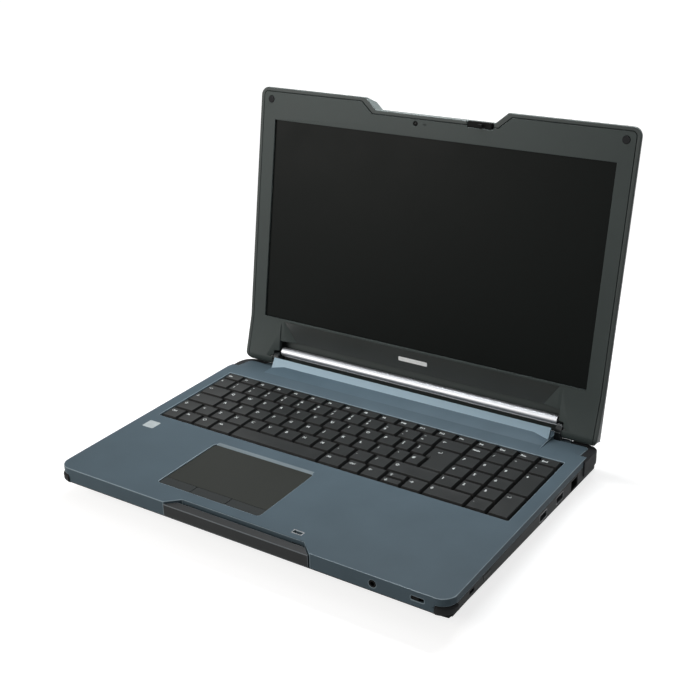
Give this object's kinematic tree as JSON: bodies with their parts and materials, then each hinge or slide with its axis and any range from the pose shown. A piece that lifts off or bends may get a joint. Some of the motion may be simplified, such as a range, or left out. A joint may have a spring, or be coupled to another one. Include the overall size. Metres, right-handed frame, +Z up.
{
  "type": "notebook computer",
  "caption": "Rugged clamshell notebook computer with number pad, pull-out front handle, rubber corner bumpers and a round hinge bar.",
  "frame": {"origin": "middle of the box around the part, on the plane of the rubber feet", "axes": "+X towards the number pad's side, +Y towards the rear wall and lid, +Z up"},
  "size_m": [0.3844, 0.3298, 0.2955],
  "materials": {
    "deck_paint": "satin blue-grey paint",
    "case_plastic": "fine texture",
    "hump_paint": "satin light blue-grey paint",
    "bumper_rubber": "matte",
    "key_plastic": "matte",
    "tray_plastic": "matte",
    "touch_plastic": "fine texture",
    "button_plastic": "satin",
    "bezel_plastic": "matte",
    "gloss_black": "gloss",
    "bar_metal": "brushed",
    "screen_glass": "anti-glare",
    "steel": "plain",
    "board_green": "solder mask",
    "copper": "plain copper",
    "plain_aluminium": "plain",
    "socket_black": "matte"
  },
  "bodies": {
    "base": {"bottom_case": "case_plastic", "top_case": "deck_paint", "hinge_cover": "hump_paint", "bumper_front_left": "bumper_rubber", "bumper_front_right": "bumper_rubber", "bumper_rear_left": "bumper_rubber", "bumper_rear_right": "bumper_rubber", "rubber_feet": "bumper_rubber", "case_screws": "steel", "service_cover": "case_plastic", "keyboard_tray": "tray_plastic", "touchpad": "touch_plastic", "headset_socket": "socket_black", "side_sockets": "steel", "network_socket": "socket_black", "rear_sockets": "steel", "power_socket": "socket_black", "motherboard": "board_green", "heat_pipe": "copper", "heat_fins": "plain_aluminium", "fan_housing": "socket_black", "memory_modules": "board_green", "wireless_card": "board_green", "storage_drive": "plain_aluminium", "speakers": "socket_black", "battery_pack": "case_plastic", "optical_drive": "plain_aluminium", "hinge_bracket_left": "steel", "hinge_bracket_right": "steel"},
    "lid": {"lid_cover": "deck_paint", "lid_bezel": "bezel_plastic", "glossy_panel": "gloss_black", "hinge_bar": "bar_metal", "hinge_arm_left": "steel", "hinge_arm_right": "steel", "display_panel": "screen_glass", "camera_module": "gloss_black", "antennas": "copper", "display_cable": "socket_black", "lid_plugs": "bumper_rubber"},
    "lid_latch": {"lid_latch": "socket_black"},
    "carry_handle": {"carry_handle": "case_plastic"},
    "function_row": {"function_row_keys": "key_plastic"},
    "number_row": {"number_row_keys": "key_plastic"},
    "upper_row": {"upper_row_keys": "key_plastic"},
    "home_row": {"home_row_keys": "key_plastic"},
    "lower_row": {"lower_row_keys": "key_plastic"},
    "bottom_row": {"bottom_row_keys": "key_plastic"},
    "space_bar": {"space_bar": "key_plastic"},
    "enter_key": {"enter_key": "key_plastic"},
    "number_pad": {"number_pad_keys": "key_plastic"},
    "touch_left": {"touchpad_button_left": "button_plastic"},
    "touch_middle": {"touchpad_button_middle": "button_plastic"},
    "touch_right": {"touchpad_button_right": "button_plastic"},
    "power_button": {"power_button": "button_plastic"},
    "wireless_switch": {"wireless_switch": "socket_black"},
    "fan_rotor": {"fan_rotor": "socket_black"},
    "battery_latch": {"battery_latch": "button_plastic"},
    "drive_tray": {"drive_tray": "case_plastic"},
    "drive_eject_button": {"drive_eject_button": "button_plastic"}
  },
  "joints": [
    {"name": "lid_hinge", "type": "hinge", "parent": "base", "child": "lid", "pos_m": [0, 0.10865, 0.0329], "axis": [-1, 0, 0], "range_deg": [-99.94, 35]},
    {"name": "lid_latch_slide", "type": "slide", "parent": "lid", "child": "lid_latch", "axis": [1, 0, 0], "range_m": [0, 0.0025], "stiffness_N_per_m": 150, "springref_m": -0.002},
    {"name": "handle_slide", "type": "slide", "parent": "base", "child": "carry_handle", "axis": [0, -1, 0], "range_m": [0, 0.024]},
    {"name": "function_row_press", "type": "slide", "parent": "base", "child": "function_row", "axis": [0, 0, -1], "range_m": [0, 0.0022], "stiffness_N_per_m": 5040, "springref_m": -0.001},
    {"name": "number_row_press", "type": "slide", "parent": "base", "child": "number_row", "axis": [0, 0, -1], "range_m": [0, 0.0022], "stiffness_N_per_m": 3920, "springref_m": -0.001},
    {"name": "upper_row_press", "type": "slide", "parent": "base", "child": "upper_row", "axis": [0, 0, -1], "range_m": [0, 0.0022], "stiffness_N_per_m": 3640, "springref_m": -0.001},
    {"name": "home_row_press", "type": "slide", "parent": "base", "child": "home_row", "axis": [0, 0, -1], "range_m": [0, 0.0022], "stiffness_N_per_m": 3640, "springref_m": -0.001},
    {"name": "lower_row_press", "type": "slide", "parent": "base", "child": "lower_row", "axis": [0, 0, -1], "range_m": [0, 0.0022], "stiffness_N_per_m": 3640, "springref_m": -0.001},
    {"name": "bottom_row_press", "type": "slide", "parent": "base", "child": "bottom_row", "axis": [0, 0, -1], "range_m": [0, 0.0022], "stiffness_N_per_m": 2800, "springref_m": -0.001},
    {"name": "space_bar_press", "type": "slide", "parent": "base", "child": "space_bar", "axis": [0, 0, -1], "range_m": [0, 0.0022], "stiffness_N_per_m": 560, "springref_m": -0.001},
    {"name": "enter_key_press", "type": "slide", "parent": "base", "child": "enter_key", "axis": [0, 0, -1], "range_m": [0, 0.0022], "stiffness_N_per_m": 280, "springref_m": -0.001},
    {"name": "number_pad_press", "type": "slide", "parent": "base", "child": "number_pad", "axis": [0, 0, -1], "range_m": [0, 0.0022], "stiffness_N_per_m": 4760, "springref_m": -0.001},
    {"name": "touch_left_press", "type": "slide", "parent": "base", "child": "touch_left", "axis": [0, 0, -1], "range_m": [0, 0.0005], "stiffness_N_per_m": 1200, "springref_m": -0.0005},
    {"name": "touch_middle_press", "type": "slide", "parent": "base", "child": "touch_middle", "axis": [0, 0, -1], "range_m": [0, 0.0005], "stiffness_N_per_m": 1200, "springref_m": -0.0005},
    {"name": "touch_right_press", "type": "slide", "parent": "base", "child": "touch_right", "axis": [0, 0, -1], "range_m": [0, 0.0005], "stiffness_N_per_m": 1200, "springref_m": -0.0005},
    {"name": "power_press", "type": "slide", "parent": "base", "child": "power_button", "axis": [-1, 0, 0], "range_m": [0, 0.0008], "stiffness_N_per_m": 1200, "springref_m": -0.0005},
    {"name": "wireless_slide", "type": "slide", "parent": "base", "child": "wireless_switch", "axis": [1, 0, 0], "range_m": [0, 0.004]},
    {"name": "fan_spin", "type": "hinge", "parent": "base", "child": "fan_rotor", "pos_m": [-0.022, 0.06234, 0.01], "axis": [0, 0, 1], "continuous": true},
    {"name": "battery_latch_slide", "type": "slide", "parent": "base", "child": "battery_latch", "axis": [1, 0, 0], "range_m": [0, 0.005], "stiffness_N_per_m": 150, "springref_m": -0.002},
    {"name": "drive_tray_slide", "type": "slide", "parent": "base", "child": "drive_tray", "axis": [-1, 0, 0], "range_m": [0, 0.11]},
    {"name": "eject_press", "type": "slide", "parent": "drive_tray", "child": "drive_eject_button", "axis": [1, 0, 0], "range_m": [0, 0.0006], "stiffness_N_per_m": 600, "springref_m": -0.0005}
  ]
}
